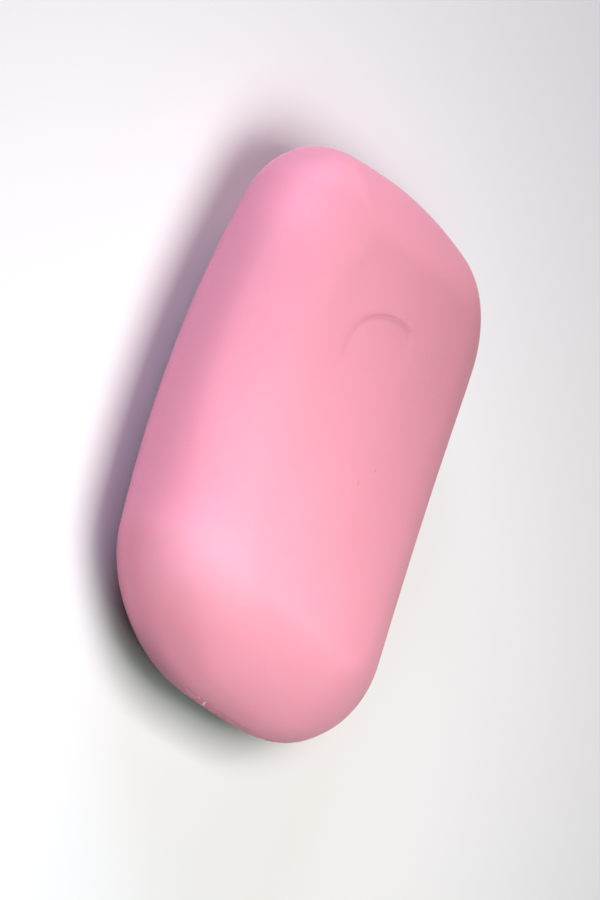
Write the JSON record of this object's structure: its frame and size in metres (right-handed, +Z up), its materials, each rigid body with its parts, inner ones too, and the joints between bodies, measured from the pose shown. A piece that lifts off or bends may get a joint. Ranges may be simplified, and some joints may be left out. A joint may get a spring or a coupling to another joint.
{
  "type": "bar of soap",
  "caption": "Plain pink bar of toilet soap: a rounded tablet with bowed sides, a hollowed top face and a bare sunk stamp panel, for washing.",
  "frame": {"origin": "middle of the flat underside, where the bar rests", "axes": "+X along the bar, towards the end with the flash lip; +Y across it, towards the straighter, lower side; +Z up out of the top face"},
  "size_m": [0.0955, 0.0602, 0.0259],
  "materials": {
    "soap": "satin, slightly waxy pressed soap"
  },
  "bodies": {
    "root": {"soap_bar": "soap"}
  },
  "joints": []
}
